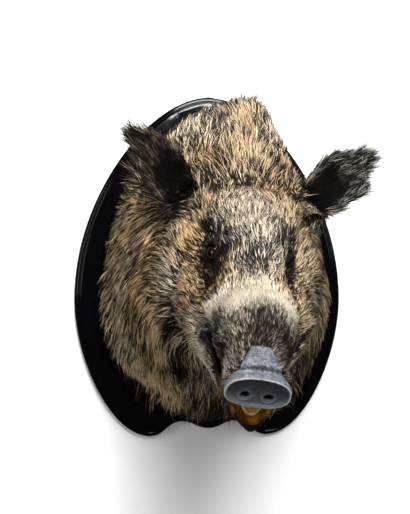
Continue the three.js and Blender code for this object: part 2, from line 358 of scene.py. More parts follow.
def lacquer():
    material, tree, shader = newMaterial("blackLacquer")
    dust = ramp(tree, noise(tree, 900, 4, 0.7), 0.62, 0.8)
    cloud = noise(tree, 14, 3)
    shade = mixed(tree, times(tree, dust, 0.12), plaque["colour"], plaque["dustColour"])
    rough = ramp(tree, cloud, 0.3, 0.75, plaque["roughness"] - 0.04, plaque["roughness"] + 0.04)
    rough = math2(tree, "ADD", rough, times(tree, dust, 0.2))
    peel = bump(tree, noise(tree, 240, 2), 0.00003, 0.08)
    paint(tree, shader, shade, rough, peel, plaque["specular"])
    return material


def makePlaque():
    shape = solidOf("plaque")
    bmesh.ops.join_triangles(shape, faces=shape.faces, angle_face_threshold=0.4, angle_shape_threshold=3.1)
    crease = shape.edges.layers.float.new("crease_edge")
    for edge in shape.edges:
        sharp = edge.calc_face_angle(0) > math.radians(plaque["creaseOver"])
        if sharp and edge.calc_length() < plaque["longestRim"]:
            edge[crease] = plaque["crease"]
    mesh = meshFrom("plaque", shape)
    mesh.shade_smooth()
    piece = addPiece("plaque_board", mesh, lacquer())
    rounding = piece.modifiers.new("rounding", "SUBSURF")
    rounding.levels = rounding.render_levels = plaque["rounding"]
    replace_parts(piece, "plaque")


makePlaque()
print("plaque made")


# Where the coat turns paler, warmer or darker: a line of places, how wide, how pale (0 is
# near black, 1 cream) and how warm (0 is grey, 1 ochre). Head places are in head
# millimetres, room places in room millimetres.
headMarks = {
    "brow": ([(-10, -34, 55), (0, 40, 50)], 48, 0.64, 0.22),
    "bridge": ([(-4, 40, 44), (2, 96, 42)], 22, 0.4, 0.16),
    "browDarkMiddle": ([(-8, -110, 48), (4, -138, 48)], 16, 0.12, 0.5),
    "browDarkRight": ([(34, -118, 45), (56, -102, 40)], 14, 0.12, 0.5),
    "browDarkLeft": ([(-38, -108, 45), (-62, -94, 40)], 16, 0.06, 0.7),
    "browTan": ([(12, -104, 50), (20, -116, 48)], 13, 0.9, 0.8),
    "creamArch": (
        [(-60, 112, 0), (-38, 126, 27), (-8, 122, 42), (20, 118, 42), (40, 124, 32), (60, 131, 5)],
        21, 1.0, 0.14,
    ),
    "noseTop": ([(5, 164, 38), (4, 205, 33)], 16, 0.16, 0.25),
    "noseSideRight": ([(36, 172, 26), (44, 205, 10)], 15, 0.16, 0.6),
    "noseSideLeft": ([(-24, 180, 28), (-22, 205, 28)], 12, 0.42, 0.35),
    "lipDarkLeft": ([(-52, 146, 8), (-44, 165, -6), (-40, 200, 2)], 14, 0.10, 0.4),
    "whiskerLeft": ([(-40, 178, 18), (-50, 168, 4)], 9, 0.5, 0.15),
    "lipDarkRight": ([(56, 150, -4), (50, 180, 0), (46, 205, 0)], 14, 0.16, 0.5),
    "eyeHaloLeft": ([(-62, -8, 10), (-56, 60, 4)], 33, 0.36, 0.8),
    "eyeHaloRight": ([(64, -4, 12), (62, 66, 4)], 21, 0.36, 0.6),
    "eyeRingLeft": ([(-60, -22, 14), (-44, 4, 28), (-40, 36, 24)], 21, 0.12, 0.2),
    # painted sheen: a grey line over each brow, above the eye
    "eyeSheenLeft": ([(-58, -20, 18), (-42, -6, 36), (-36, 16, 36)], 6, 0.36, 0.0),
    "eyeUnderLeft": ([(-56, 10, -4), (-54, 52, 2)], 24, 0.13, 0.7),
    "eyeTearLeft": ([(-56, 60, 0), (-54, 84, 6)], 13, 0.26, 0.7),
    "eyeRingRight": ([(64, -14, 16), (46, 2, 34), (38, 24, 34)], 19, 0.13, 0.2),
    "eyeSheenRight": ([(60, -18, 22), (42, -4, 40), (32, 14, 42)], 6, 0.4, 0.0),
    "eyeUnderRight": ([(56, 16, 0), (56, 58, 4)], 17, 0.15, 0.65),
    "eyeTearRight": ([(60, 66, 0), (66, 96, -6)], 10, 0.22, 0.6),
    "cheekTanRight": ([(82, -36, -8), (84, 30, -20), (92, 90, -40)], 14, 0.66, 0.5),
    "cheekTanLeft": ([(-82, -30, -14), (-92, 36, -40)], 20, 0.74, 0.78),
    "cheekBrownLeft": ([(-70, 85, -14), (-84, 70, -60)], 22, 0.42, 0.8),
    "ruffLeft": ([(-118, 10, -96), (-124, 6, -143), (-112, 6, -186)], 16, 0.97, 0.66),
    "cheekDarkLeft": ([(-98, 34, -104), (-92, 26, -160), (-70, 8, -226)], 20, 0.07, 0.4),
    "jawGreyLeft": ([(-66, 104, -56), (-58, 128, -88), (-44, 150, -110)], 19, 0.82, 0.1),
    "jawGreyRight": ([(66, 104, -56), (62, 128, -88)], 15, 0.5, 0.4),
    "cheekGapRight": ([(92, 56, -48), (106, 30, -86)], 11, 0.1, 0.5),
    "cheekPaleRight": ([(132, -66, -70), (137, -38, -124)], 14, 0.64, 0.55),
    # the chin's dark fur, with painted shade under the jaw
    "chin": ([(0, 210, -110), (10, 120, -170), (0, 40, -220)], 34, 0.10, 0.6),
}
roomMarks = {
    "maneTan": ([(30, -290, 146), (30, -244, 197), (52, -196, 248)], 24, 0.9, 0.62),
    "maneGreyLeft": ([(4, -232, 200), (-30, -232, 182)], 18, 0.3, 0.0),
    "maneGreyTop": ([(-6, -190, 232), (24, -170, 262)], 15, 0.3, 0.05),
    "maneGreyRight": ([(80, -216, 212), (88, -233, 184)], 17, 0.3, 0.05),
    "neckDarkLeft": ([(-138, -240, 16), (-150, -230, -10)], 14, 0.12, 0.5),
    "neckTanLeft": ([(-112, -250, 66), (-120, -262, 6)], 17, 0.66, 0.85),
    "neckUnderEarLeft": ([(-112, -240, 110), (-80, -270, 90)], 20, 0.12, 0.5),
    "lowerLock": ([(-154, -84, -164), (-112, -150, -172), (-70, -142, -194)], 20, 0.98, 0.74),
    "lowerDark": ([(-180, -96, -130), (-186, -80, -90)], 20, 0.14, 0.1),
    # the throat's dark fur, with painted shade on the underside
    "throat": ([(-52, -60, -238), (-34, -150, -234), (20, -120, -230), (60, -260, -190)], 46, 0.21, 0.55),
    "underRight": ([(120, -200, -150), (160, -90, -150), (112, -70, -214), (60, -90, -226)], 70, 0.2, 0.6),
}


def markShare(points, line, reach):
    line = np.array(line, float)
    nearest = np.full(len(points), np.inf)
    for start, end in zip(line[:-1], line[1:]):
        along = np.clip((points - start) @ (end - start) / ((end - start) @ (end - start)), 0, 1)
        gap = norms(points - start - along[:, None] * (end - start))
        nearest = np.minimum(nearest, gap)
    return ease(reach * 1.45, reach * 0.45, nearest)


def markings(points):  # how pale and how warm the coat is at each point
    warped = points + 0.005 * np.column_stack([ripple(points, 0.02, seed) for seed in (1, 2, 3)])
    head = inHead(warped)
    room = warped * 1000
    front = head[:, 1]
    neck = neckShare(points)
    pale = toward(0.56, 0.47, neck) + 0.07 * ripple(points, 0.03, 4)
    warm = toward(0.55, 0.62, neck) + 0.16 * ripple(points, 0.045, 5)
    warm = toward(warm, 0.36, neck * ease(0.15, 0.2, points[:, 2]))
    warm = toward(warm, 0.22, ease(100, 130, front))
    pale = toward(pale, 0.44, ease(120, 150, front))
    for marks, places in ((roomMarks, room), (headMarks, head)):
        for line, reach, markPale, markWarm in marks.values():
            share = markShare(places, line, reach)
            pale = toward(pale, markPale, share)
            warm = toward(warm, markWarm, share)
    ear = earShare(points)
    # painted sheen: the ears take dark hair, paler and greyer on the ear at +X
    pale = toward(pale, toward(0.16, 0.22, points[:, 0] > 0), ear)
    warm = toward(warm, toward(0.5, 0.0, points[:, 0] > 0), ear)
    pale = nearLids(pale, points, 0.0, 0.022)  # dark lids
    edge = ease(-0.09, -0.03, points[:, 1])  # painted shade: duller against the plaque
    pale = toward(pale, pale * 0.55, edge)
    return np.clip(pale, 0, 1), np.clip(warm, 0, 1)


def neckShare(points):
    return ease(-0.31, -0.255, points[:, 1])


# Each ear: where it leaves the head and where its tip is, from its CAD node.
def earLine(node):
    points = pointsOf(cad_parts[node].data)
    order = np.argsort(norms(points - headMiddle))
    few = len(order) // 8
    return points[order[:few]].mean(0), points[order[-few // 3:]].mean(0)


ears = {node: earLine(node) for node in ("ear_left", "ear_right")}


def earPlace(points, node):  # how far along the ear, how far out from its middle line
    root, tip = ears[node]
    line = tip - root
    along = (points - root) @ line / (line @ line)
    return along, points - root - along[:, None] * line


def earShare(points):
    share = np.zeros(len(points))
    for node in ears:
        along, off = earPlace(points, node)
        near = ease(0.055, 0.04, norms(off))
        share = np.maximum(share, near * ease(0.02, 0.16, along))
    return share


def earHollowShade(points, normals):  # painted shade: the inside of each cup, where skin and coat are darkened
    share = np.zeros(len(points))
    for node in ears:
        hand = 1 if node == "ear_left" else -1
        facing = unit(hand * 0.2 * sideways + 0.8 * ahead + 0.55 * upward)
        along, off = earPlace(points, node)
        inside = ease(0.030, 0.016, norms(off)) * ease(0.1, 0.4, normals @ facing)
        share = np.maximum(share, inside * ease(-0.05, 0.1, along) * ease(0.66, 0.36, along))
    return share


hairLength = {  # metres
    "face": 0.0235,
    "nape": 0.031,
    "cheek": 0.026,
    "ruff": 0.036,
    "muzzle": 0.0115,
    "crest": 0.038,
    "jaw": 0.017,
    "neck": 0.037,
    "mane": 0.052,
    "edge": 0.030,
    "throat": 0.060,
    "lid": 0.006,
    "ear": 0.019,
    "earFringe": 0.041,
}
hairLift = {  # degrees off the skin
    "face": 19,
    "muzzle": 15,
    "crest": 28,
    "neck": 24,
    "mane": 36,
    "edge": 34,
    "throat": 60,
    "lid": 9,
    "ear": 16,
}


def crestShare(points, reach):  # the tuft that stands up between the ears
    side, front, up = inHead(points).T
    return ease(reach, 8, np.abs(front + 116)) * ease(75, 45, np.abs(side)) * ease(20, 40, up)


def nearLids(values, points, wanted, reach=0.034):
    for node in eyeNodes:
        values = toward(values, wanted, ease(reach, 0.016, norms(points - middles[node])))
    return values


def coatLength(points):
    side, front, up = inHead(points).T
    outward = np.abs(side)
    depth, height = points.T[1:]
    neck = neckShare(points)
    length = np.full(len(points), hairLength["face"])
    for part, share in (
        ("nape", ease(-40, -100, front)),
        ("cheek", ease(60, 95, outward) * ease(110, 60, front)),
        ("ruff", ease(-70, -120, up) * ease(90, 50, front)),
        ("muzzle", ease(60, 135, front)),
        ("crest", crestShare(points, 26)),
        ("jaw", ease(70, 110, front) * ease(-50, -80, up)),
        ("neck", neck),
        ("mane", neck * ease(0.15, 0.24, height)),
        ("edge", ease(-0.09, -0.04, depth) * ease(-0.1, -0.05, height)),
        ("throat", ease(-0.15, -0.20, height) * ease(-0.38, -0.33, depth)),
    ):
        length = toward(length, hairLength[part], share)
    length = nearLids(length, points, hairLength["lid"])
    return toward(length, hairLength["ear"], earShare(points))


def coatLift(points):  # how far the hair stands off the skin, in radians
    front = inHead(points)[:, 1]
    depth, height = points.T[1:]
    neck = neckShare(points)
    lift = np.full(len(points), float(hairLift["face"]))
    for part, share in (
        ("muzzle", ease(90, 140, front)),
        ("crest", crestShare(points, 28)),
        ("neck", neck),
        ("mane", neck * ease(0.15, 0.23, height)),
        ("edge", ease(-0.07, -0.03, depth)),
        ("throat", ease(-0.17, -0.22, height) * ease(-0.36, -0.3, depth)),
    ):
        lift = toward(lift, hairLift[part], share)
    lift = nearLids(lift, points, hairLift["lid"])
    return np.radians(toward(lift, hairLift["ear"], earShare(points)))


def coatLie(points, normals):  # which way the hair lies: away from the snout, then down the neck
    noseTip = headMiddle + ahead * noseReach
    face = unit(points - noseTip)
    sag = toward(-1.3, 0.95, ease(0.19, 0.05, points[:, 2]))
    body = unit(np.column_stack([np.zeros(len(points)), np.ones(len(points)), -sag]))
    share = ease(-0.33, -0.25, points[:, 1])[:, None]
    flow = toward(face, body, share)
    for node in eyeNodes:
        away = points - middles[node]
        gap = np.linalg.norm(away, axis=1, keepdims=True)
        flow += 1.1 * away / gap * bell(gap, 0, 0.03)
    for node in ears:
        off = earPlace(points, node)[1]
        root, tip = ears[node]
        earFlow = unit(tip - root) + 9.0 * off
        share = earShare(points) * (norms(off) < 0.06)
        flow = toward(flow, earFlow, share[:, None])
    swirl = np.column_stack([ripple(points, 0.035, seed) for seed in (11, 12, 13)])
    flow += 0.28 * swirl
    flow -= normals * (flow * normals).sum(1, keepdims=True)
    return unit(flow)


skin = {
    "voxel": 0.004,
    "calm": 5,
    "coatShare": 0.36,  # the skin lies this share of the hair's length inside the coat
    "underEars": 0.0022,
}
lids = {
    "gap": 0.0016,  # between skin and glass
    "halfWide": 30,  # the opening, in degrees round the eye
    "halfTall": 18,
    "rim": 0.0012,
    "sunk": 0.004,  # inside the opening the skin lies this far behind the glass
}


def eyeAxis(node):  # out of the socket, a little forward and up
    out = unit(middles[node] - headMiddle)
    return unit(out * 0.76 + ahead * 0.58 + upward * 0.20)


nose = {  # places in head millimetres, heights in metres
    "plateFrom": 212,
    "plateLength": 26,
    "plateMiddle": 3,
    "plateTop": 12,  # half the plate's width where it begins,
    "plateFoot": 24,  # and where it meets the disc
    "proud": 0.0016,
    "swell": 0.0022,  # the plate swells into the disc
    "voxel": 0.0011,
    "calm": 7,
    "seam": 244,
    "seamCalm": 30,
    "middle": (1.5, -2),  # of the disc, sideways and up
    "roll": 5,  # degrees, its end at the animal's left hangs lower
    "half": 42.5,
    "above": 28,
    "below": 24,
    "power": 2.4,  # squarer than an ellipse
    "nostril": (15, -7),
    "nostrilRadius": 6.7,
    "rim": 0.0014,
    "dish": 0.0020,
    "nostrilRim": 0.0010,
    "groove": 0.0009,
    "folds": 0.00028,
    "cracks": 0.0005,
    "seamRoll": 0.0011,
    "grain": 0.00012,
}
jaw = {
    "middle": 6,
    "fronts": (100, 124, 156, 192, 218, 236, 243),  # along the lower lip, head millimetres,
    "halves": (78, 69, 56, 46, 28, 11, 3),  # half the jaw's width,
    "lips": (-46, -50, -58, -68, -76, -82, -85),  # and how high the lip is
    "depth": 9,
}


def inJaw(points):  # across the jaw (1 at its outside), how far above the lip, and if beside it
    side, front, up = inHead(points).T
    half = np.interp(front, jaw["fronts"], jaw["halves"])
    over = up - np.interp(front, jaw["fronts"], jaw["lips"])
    beside = ease(104, 110, front) * ease(246, 242, front) * ease(-16, -13, over) * ease(9, 5, over)
    return np.abs(side - jaw["middle"]) / half, over, beside


def openMouth(points, normals):  # the jaw's floor and a narrow raised lip
    across, over, beside = inJaw(points)
    wanted = -jaw["depth"] * ease(0.9, 0.62, across) + 0.8 * bell(across, 0.93, 0.05)
    share = beside * ease(1.02, 0.97, across) * ease(0.0, 0.3, normals @ upward)
    return points + (share * (wanted - over) / 1000)[:, None] * upward


def bareShare(points, normals):  # lips, mouth and the roof of the mouth
    front, up = inHead(points).T[1:]
    across, over, beside = inJaw(points)
    mouthFloor = beside * ease(0.985, 0.945, across)
    # the roof of the mouth, facing down, which the skin shader paints near black: its own dark skin and
    # painted shade
    roof = ease(104, 116, front) * ease(-0.4, -0.65, normals @ upward) * ease(-70, -55, up)
    return np.maximum(mouthFloor, roof)


def openEyes(points):  # lids round each eye, and the skin drawn in behind the opening
    for node in eyeNodes:
        low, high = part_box(node)
        centre = np.array((low + high) / 2)
        radius = float((high - low).x) / 2
        axis = eyeAxis(node)
        level = unit(ahead - ahead @ axis * axis)
        rise = np.cross(axis, level)
        rise *= np.sign(rise @ upward)
        away = points - centre
        reach = norms(away)
        direction = away / np.maximum(reach, 1e-6)[:, None]
        front = direction @ axis
        wide = np.arctan2(direction @ level, front) / math.radians(lids["halfWide"])
        tall = np.arctan2(direction @ rise, front) / math.radians(lids["halfTall"])
        opening = np.where(front > 0.05, np.hypot(wide, tall), 9)
        lid = radius + lids["gap"] + lids["rim"] * bell(opening, 1.25, 0.16)
        new = toward(radius - lids["sunk"], lid, ease(0.93, 1.06, opening))
        new = toward(new, np.maximum(reach, radius + 0.001), ease(1.5, 2.3, opening))
        near = (opening < 8) & (reach < radius * 2.6)
        points[near] = centre + direction[near] * new[near][:, None]
    return points


def vertsNear(shape, places, reach):
    return [v for v in shape.verts if min((v.co - place).length for place in places) < reach]


def refine(shape, points):  # halves the edges that meet at these points
    edges = list({edge for point in points for edge in point.link_edges})
    bmesh.ops.subdivide_edges(shape, edges=edges, cuts=1, use_grid_fill=True)


def makeSkin():
    shape = solidOf("neck", "head", "muzzle", "lower_jaw", "ear_left", "ear_right", grow=0.0005)
    mesh = remeshed(shape, skin["voxel"], skin["calm"])
    points, normals = pointsOf(mesh), normalsOf(mesh)
    depth = skin["coatShare"] * coatLength(points)
    depth = toward(depth, skin["underEars"], earShare(points))
    depth *= 1 - bareShare(points, normals)
    step = normals * depth[:, None]
    step[:, 1] *= ease(wallY - 0.004, wallY - 0.03, points[:, 1])  # the cut end stays on the plaque
    movePoints(mesh, points - step)

    fine = bmesh.new()
    fine.from_mesh(mesh)
    eyes = [Vector(middles[node]) for node in eyeNodes]
    for reach in (0.036, 0.027):  # smaller faces round the eyes
        refine(fine, vertsNear(fine, eyes, reach))
        soften(fine, vertsNear(fine, eyes, reach))
    for least in (104, 186):  # and round the mouth
        fine.verts.ensure_lookup_table()
        places = np.array([v.co for v in fine.verts])
        across, over, beside = inJaw(places)
        front = inHead(places)[:, 1]
        chosen = np.nonzero((beside > 0.01) & (across < 1.15) & (front > least))[0]
        refine(fine, [fine.verts[i] for i in chosen])
    fine.to_mesh(mesh)
    fine.free()
    movePoints(mesh, openEyes(pointsOf(mesh)))
    movePoints(mesh, openMouth(pointsOf(mesh), normalsOf(mesh)))
    mesh.shade_smooth()
    return mesh


skinMesh = makeSkin()
print("skin:", len(skinMesh.polygons), "faces")


def unwrapSkin(piece):  # the map named OFBake, which the coat's tufts also sit on
    bpy.context.view_layer.objects.active = piece
    piece.select_set(True)
    bpy.ops.object.mode_set(mode="EDIT")
    bpy.ops.mesh.select_all(action="SELECT")
    bpy.ops.uv.smart_project(angle_limit=math.radians(70), island_margin=0.002, area_weight=0.2)
    bpy.ops.object.mode_set(mode="OBJECT")
    piece.select_set(False)
    piece.data.uv_layers[0].name = "OFBake"


coatValues = ("along", "tone", "pale", "warm")


def coatColour():  # one shader group for coat and skin: dark at the root, pale toward the tip
    group = bpy.data.node_groups.new("coatColour", "ShaderNodeTree")
    for name in coatValues:
        group.interface.new_socket(name, in_out="INPUT", socket_type="NodeSocketFloat")
    group.interface.new_socket("Color", in_out="OUTPUT", socket_type="NodeSocketColor")
    inside = group.nodes.new("NodeGroupInput").outputs
    along, tone, pale, warm = (inside[name] for name in coatValues)
    outside = group.nodes.new("NodeGroupOutput").inputs
    bright = mixed(group, warm, colour(0.93, 0.90, 0.83), colour(0.86, 0.68, 0.41))
    dull = mixed(group, warm, colour(0.30, 0.305, 0.32), colour(0.36, 0.28, 0.12))
    shadow = times(group, tone, 0.62)
    light = math2(group, "SUBTRACT", math2(group, "ADD", pale, 0.24), shadow)
    tip = mixed(group, ramp(group, light, 0.05, 0.72), dull, bright)
    root = mixed(group, warm, colour(0.05, 0.045, 0.04), colour(0.15, 0.105, 0.04))
    root = mixed(group, ramp(group, pale, 0.0, 0.4), colour(0.03, 0.024, 0.018), root)
    root = mixed(group, ramp(group, pale, 0.7, 1.0, 0.0, 0.52), root, bright)
    start = ramp(group, tone, 0.0, 1.0, 0.05, 0.45)
    band = ramp(group, math2(group, "SUBTRACT", along, start), 0.0, 0.35)
    spare = math2(group, "SUBTRACT", tone, times(group, pale, 0.8))
    darkHair = ramp(group, spare, -0.02, 0.14, 1.0, 0.06)
    share = times(group, times(group, band, darkHair), ramp(group, pale, 0.0, 0.25))
    group.links.new(mixed(group, share, root, tip), outside["Color"])
    return group


coatShades = coatColour()


def furColour(tree, values):
    return addNode(tree, "Group", values, node_tree=coatShades).outputs["Color"]


def coatMaterial():
    material, tree, shader = newMaterial("boarCoat")
    values = {name: attribute(tree, name) for name in coatValues}
    rough = ramp(tree, values["tone"], 0, 1, 0.38, 0.6)
    paint(tree, shader, furColour(tree, values), rough, specular=0.16)
    return material


def skinMaterial():
    material, tree, shader = newMaterial("boarSkin")
    grain = noise(tree, 420, 4, 0.6)
    values = {name: attribute(tree, name) for name in ("pale", "warm")}
    fur = furColour(tree, {**values, "tone": grain, "along": 0.35})
    blotch = noise(tree, 120, 3)
    # near-black bare skin: the lips' own dark skin, with painted shade in the mouth's gap and on its roof
    bare = mixed(tree, blotch, colour(0.035, 0.03, 0.028), colour(0.10, 0.085, 0.075))
    wet = mixed(tree, ramp(tree, blotch, 0.35, 0.65), colour(0.55, 0.34, 0.08), colour(0.82, 0.57, 0.20))
    bare = mixed(tree, attribute(tree, "amber"), bare, wet)
    bare = mixed(tree, attribute(tree, "lip"), bare, colour(0.56, 0.50, 0.41))
    shade = mixed(tree, attribute(tree, "bare"), fur, bare)
    rough = ramp(tree, attribute(tree, "amber"), 0, 1, 0.7, 0.2)
    paint(tree, shader, shade, rough, bump(tree, grain, 0.0006, 0.6), 0.2)
    return material


def skinMarks(points, normals):  # what the skin's shader reads
    pale, warm = markings(points)
    across, over, beside = inJaw(points)
    front = inHead(points)[:, 1]
    amber = beside * ease(0.92, 0.84, across) * ease(165, 205, front) * ease(236, 228, front)
    lip = beside * 0.7 * bell(across, 0.95, 0.016)
    return {
        # painted shade inside each ear's cup
        "pale": pale * (1 - earHollowShade(points, normals)),
        "warm": warm,
        "bare": bareShare(points, normals),
        "amber": amber,
        "lip": lip * ease(116, 130, front) * ease(222, 200, front),
    }


skinPiece = addPiece("boar_skin", skinMesh, skinMaterial())
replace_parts(skinPiece, "neck", "head", "muzzle", "lower_jaw", "ear_left", "ear_right")
unwrapSkin(skinPiece)
skinPoints, skinNormals = pointsOf(skinMesh), normalsOf(skinMesh)
skinValues = skinMarks(skinPoints, skinNormals)
setAttributes(skinMesh, skinValues)
print("skin unwrapped and marked")


coat = {
    "tufts": 149000,
    "thick": 0.00030,  # half a tuft's width, plus
    "thickByLength": 0.0106,  # this share of its length
    "clumpTufts": 6,
    "clumpPull": 0.5,
    "lockTufts": 60,  # clumps draw together into locks
    "lockPull": 0.27,
    "markBlend": 0.0055,  # hairs of two colours mingle this far over the edge of a mark
    "patch": 0.003,  # a tuft's size on the map
    "bendFrom": 0.0155,  # longer tufts get a bend,
    "longFrom": 0.037,  # and longer ones still get two
    "mostFaces": 190000,  # in one piece
    "turnSpread": 0.16,
    "bendSpread": 0.13,
    "clumpTone": 0.45,  # how far a clump's tufts agree in tone
    "seed": 7,
}


def tuftShape(bends):  # a three-sided spike: heights, turns, triangles and its own small map
    shape = bmesh.new()
    bmesh.ops.create_cone(shape, cap_ends=True, segments=3, radius1=1, radius2=0, depth=1)
    bmesh.ops.translate(shape, verts=shape.verts, vec=(0, 0, 0.5))
    bmesh.ops.remove_doubles(shape, verts=shape.verts, dist=1e-4)
    for height in bends:
        everything = shape.verts[:] + shape.edges[:] + shape.faces[:]
        level = {"plane_co": (0, 0, height), "plane_no": (0, 0, 1)}
        bmesh.ops.bisect_plane(shape, geom=everything, dist=1e-6, **level)
    bmesh.ops.triangulate(shape, faces=shape.faces)
    bmesh.ops.recalc_face_normals(shape, faces=shape.faces)
    shape.verts.index_update()
    heights, turns = np.array([(v.co.z, math.atan2(v.co.y, v.co.x)) for v in shape.verts]).T
    corners = np.array([[v.index for v in f.verts] for f in shape.faces])
    patch = np.zeros((len(corners), 3, 2))
    for i, corner in enumerate(corners):
        across = turns[corner]
        low = turns[corner][heights[corner] < 0.99]
        centre = math.atan2(np.sin(low).sum(), np.cos(low).sum())
        across = np.where(heights[corner] > 0.99, 0, (across - centre + math.pi) % (2 * math.pi) - math.pi)
        patch[i, :, 0] = (centre + across) / (2 * math.pi)
        patch[i, :, 1] = heights[corner] - 0.5
        if (heights[corner] < 1e-6).all():  # the closed root
            patch[i] = 0.1 * np.column_stack([np.cos(turns[corner]), np.sin(turns[corner])]) - 0.4
    shape.free()
    return heights, turns, corners, patch


def scatter(count, dice):  # roots on the skin, closer together where the hair is short
    skinMesh.calc_loop_triangles()
    corners = read(skinMesh.loop_triangles, "vertices", kind=np.int32)
    loops = read(skinMesh.loop_triangles, "loops", kind=np.int32)
    places = read(skinMesh.uv_layers["OFBake"].data, "uv", 2)
    a, b, c = (skinPoints[corners[:, i]] for i in range(3))
    area = norms(np.cross(b - a, c - a)) / 2
    middle = (a + b + c) / 3
    length = coatLength(middle)
    wanted = area / (length * (coat["thick"] + coat["thickByLength"] * length))
    wanted *= 1 + 0.8 * earShare(middle)
    wanted *= 1 - skinValues["bare"][corners].max(1) ** 0.5
    wanted[middle[:, 1] > wallY - 0.001] = 0
    wanted *= 1 - noseShare(middle)
    chosen = np.searchsorted(np.cumsum(wanted) / wanted.sum(), dice.random(count))
    u, v = dice.random(count), dice.random(count)
    over = u + v > 1
    u[over], v[over] = 1 - u[over], 1 - v[over]
    weights = np.column_stack([1 - u - v, u, v])
    return {
        "roots": np.einsum("ij,ijk->ik", weights, skinPoints[corners[chosen]]),
        "normals": unit(np.einsum("ij,ijk->ik", weights, skinNormals[corners[chosen]])),
        "patches": np.einsum("ij,ijk->ik", weights, places[loops[chosen]]),
    }


def noseShare(points):  # the disc and the bare plate that runs up from it, which widens forward
    side, front, up = inHead(points).T
    begins = nose["plateFrom"]
    along = np.clip((front - begins) / nose["plateLength"], 0, 1)
    half = toward(nose["plateTop"], nose["plateFoot"], along)
    plate = ease(half + 1, half - 2, np.abs(side - nose["plateMiddle"]))
    plate = plate * ease(begins - 1, begins + 2, front) * ease(-4, 4, up)
    return np.maximum(plate, ease(238, 243, front))


# Stray hair: a place in room millimetres, how far round it, the share of tufts that stray,
# their length in metres and how far they stand off the skin in degrees.
strays = (
    ((196, -96, -84), 13, 0.6, 0.050, 50),
    ((-40, -50, -238), 34, 0.25, 0.070, 66),
    ((34, -50, -238), 34, 0.25, 0.070, 66),
    ((100, -170, 226), 60, 0.2, 0.044, 48),
    ((30, -120, 268), 60, 0.2, 0.050, 55),
    ((-190, -70, -60), 70, 0.12, 0.050, 40),
    ((110, -70, -212), 60, 0.8, 0.078, 60),
    ((150, -60, -170), 40, 0.4, 0.056, 45),
)


def groomed(roots, normals, dice):  # each tuft's length, how it stands and which way it lies
    count = len(roots)
    length = coatLength(roots) * dice.uniform(0.75, 1.25, count)
    ear = earShare(roots)
    for node in ears:
        along, off = earPlace(roots, node)
        fringe = ear * np.maximum(ease(0.028, 0.038, norms(off)), ease(0.72, 0.9, along))
        longer = fringe * (norms(off) < 0.06) * (dice.random(count) < 0.6)
        length = toward(length, hairLength["earFringe"] * dice.uniform(0.5, 1.2, count), longer)
    lift = coatLift(roots) * dice.uniform(0.7, 1.35, count)
    for place, reach, share, strayLength, stands in strays:
        stray = (norms(roots * 1000 - place) < reach) & (dice.random(count) < share)
        length[stray] = strayLength * dice.uniform(0.7, 1.2, stray.sum())
        lift[stray] = math.radians(stands) * dice.uniform(0.8, 1.2, stray.sum())
    lie = coatLie(roots, normals)
    across = np.cross(normals, lie)
    turn = dice.normal(0, coat["turnSpread"], count)[:, None]
    return {"length": length, "lift": lift, "lie": lie * np.cos(turn) + across * np.sin(turn)}


def picked(tufts, which):
    return {name: values[which] for name, values in tufts.items()}


def tuftLine(tufts, share):  # the middle line of each tuft, at a share of its length
    lie, lift, normals = tufts["lie"], tufts["lift"], tufts["normals"]
    flat = np.cos(lift)[:, None] * share + 0.12 * share ** 2
    rise = np.sin(lift)[:, None] * (share - 0.38 * share ** 2)
    curve = np.cross(normals, lie) * (tufts["bend"][:, None] * share ** 2)
    droop = np.array([0, 0, -0.10 * share ** 2])
    return tufts["roots"] + tufts["length"][:, None] * (lie * flat + normals * rise + curve + droop)


def makeTufts(tufts, clumps, bends):
    heights, turns, corners, patch = tuftShape(bends)
    roots, normals, patches = tufts["roots"], tufts["normals"], tufts["patches"]
    count, size = len(roots), len(heights)
    clump = picked(clumps, tufts["clump"])
    lock = picked(clumps, clump["lock"])
    thick = (coat["thick"] + coat["thickByLength"] * tufts["length"])[:, None]
    thick *= 1 - 0.35 * earShare(roots)[:, None]
    side = unit(np.cross(tufts["lie"], normals))
    over = np.cross(side, tufts["lie"])
    points = np.empty((count, size, 3))
    for i, (height, turn) in enumerate(zip(heights, turns)):
        own, shared, wide = (tuftLine(lines, height) for lines in (tufts, clump, lock))
        shared = toward(shared, wide, coat["lockPull"] * height ** 1.6)
        middle = toward(own, shared, (tufts["pull"] * height ** 1.4)[:, None])
        width = thick * (0 if height > 0.999 else (0.75 + 0.9 * height - 1.45 * height ** 2))
        points[:, i] = middle + width * (side * math.cos(turn) + over * math.sin(turn))
    points[..., 1] = np.minimum(points[..., 1], wallY - 0.001)  # no hair runs into the board
    triangles = (corners[None] + (np.arange(count) * size)[:, None, None]).reshape(-1, 3)
    pale, warm = markings(tufts["marked"])
    # painted shade inside each ear's cup
    pale = pale * (1 - 0.95 * earHollowShade(roots, normals))
    return {
        "points": points.reshape(-1, 3),
        "triangles": triangles,
        "map": (patches[:, None, None] + coat["patch"] * patch[None]).reshape(-1, 2),
        "along": np.tile(heights, count),
        "tone": np.repeat(tufts["tone"], size),
        "pale": np.repeat(pale, size),
        "warm": np.repeat(warm, size),
    }


def tuftMesh(tufts):
    mesh = bpy.data.meshes.new("tufts")
    count = len(tufts["triangles"])
    mesh.vertices.add(len(tufts["points"]))
    mesh.loops.add(count * 3)
    mesh.polygons.add(count)
    mesh.vertices.foreach_set("co", tufts["points"].astype(np.float32).ravel())
    mesh.loops.foreach_set("vertex_index", tufts["triangles"].astype(np.int32).ravel())
    mesh.polygons.foreach_set("loop_start", np.arange(0, count * 3, 3, dtype=np.int32))
    mesh.update(calc_edges=True)
    layer = mesh.uv_layers.new(name="OFBake")
    layer.data.foreach_set("uv", tufts["map"].astype(np.float32).ravel())
    setAttributes(mesh, {value: tufts[value] for value in coatValues})
    mesh.shade_smooth()
    return mesh


def nearestOf(seeds, places):  # for each place, the number of the nearest seed
    tree = KDTree(len(seeds))
    for i, seed in enumerate(seeds):
        tree.insert(seed, i)
    tree.balance()
    return np.array([tree.find(place)[1] for place in places])


